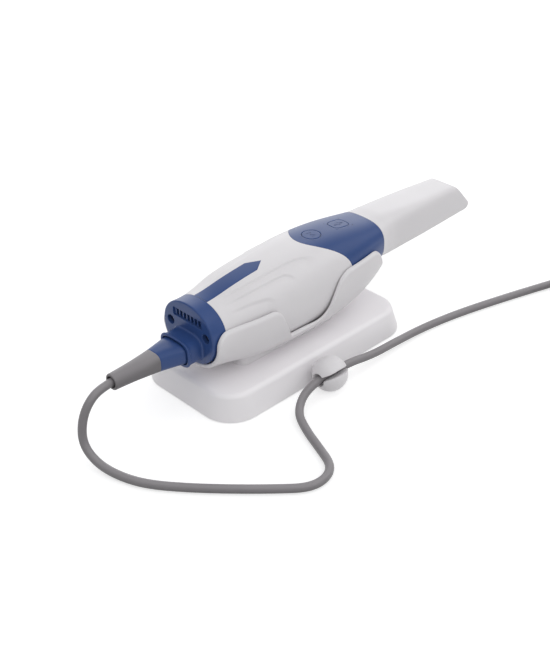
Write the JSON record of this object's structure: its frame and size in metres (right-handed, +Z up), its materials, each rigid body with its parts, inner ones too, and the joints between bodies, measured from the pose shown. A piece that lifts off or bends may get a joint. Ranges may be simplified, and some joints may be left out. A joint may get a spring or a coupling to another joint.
{
  "type": "intraoral scanner",
  "caption": "Hand-held dental scanner with a slim removable tip, lying in a cradle on a weighted desk base, with its cable and plug.",
  "frame": {"origin": "centre of the rubber pad's underside, on the surface the base stands on", "axes": "+X from the cable end to the scanning tip, +Z up, -Y towards the side with the cable clip"},
  "size_m": [0.3735, 0.2015, 0.067],
  "materials": {
    "white_plastic": "satin",
    "blue_plastic": "satin",
    "grey_cable": "satin",
    "grey_rubber": "matte",
    "black_rubber": "matte",
    "black_plastic": "matte",
    "black_metal": "anodised",
    "aluminium": "machined",
    "circuit_board": "satin",
    "clear_glass": "polished",
    "mirror": "polished",
    "screw_steel": "plain",
    "ballast_steel": "plain",
    "plug_steel": "plated"
  },
  "bodies": {
    "scanner_and_dock": {"handle_shell": "white_plastic", "front_collar": "blue_plastic", "label_strip": "blue_plastic", "rear_cap": "blue_plastic", "cap_screws": "screw_steel", "plug_housing": "blue_plastic", "strain_relief": "grey_rubber", "cord": "grey_cable", "cord_coil": "grey_cable", "cord_tail": "grey_cable", "cradle": "white_plastic", "base_shell": "white_plastic", "cable_clip": "white_plastic", "rubber_pad": "black_rubber", "chassis": "black_plastic", "main_board": "circuit_board", "button_board": "circuit_board", "camera_board": "circuit_board", "projector_board": "circuit_board", "heat_sink": "aluminium", "blower_housing": "black_plastic", "cable_socket": "black_plastic", "optical_bench": "aluminium", "camera_barrel": "black_metal", "projector_barrel": "black_metal", "camera_lens": "clear_glass", "projector_lens": "clear_glass", "optics_housing": "black_plastic", "optics_glass": "clear_glass", "seal_ring": "black_rubber", "cradle_screws": "screw_steel", "base_screws": "screw_steel", "base_cover": "black_plastic", "ballast_plate": "ballast_steel", "usb_relief": "grey_rubber", "usb_housing": "black_plastic", "usb_shell": "plug_steel"},
    "round_button": {"round_button": "blue_plastic"},
    "scan_button": {"scan_button": "blue_plastic"},
    "tip": {"tip_sleeve": "white_plastic", "tip_mirror": "mirror", "tip_window": "clear_glass"},
    "blower_rotor": {"blower_rotor": "black_plastic"}
  },
  "joints": [
    {"name": "round_button_press", "type": "slide", "parent": "scanner_and_dock", "child": "round_button", "axis": [0, 0, -1], "range_m": [0, 0.0006], "stiffness_N_per_m": 800, "springref_m": -0.0006},
    {"name": "scan_button_press", "type": "slide", "parent": "scanner_and_dock", "child": "scan_button", "axis": [0, 0, -1], "range_m": [0, 0.0006], "stiffness_N_per_m": 800, "springref_m": -0.0006},
    {"name": "tip_pull_off", "type": "slide", "parent": "scanner_and_dock", "child": "tip", "axis": [1, 0, 0], "range_m": [0, 0.06]},
    {"name": "blower_spin", "type": "hinge", "parent": "scanner_and_dock", "child": "blower_rotor", "pos_m": [-0.0476, 0, 0.052], "axis": [0, 0, 1], "continuous": true}
  ]
}
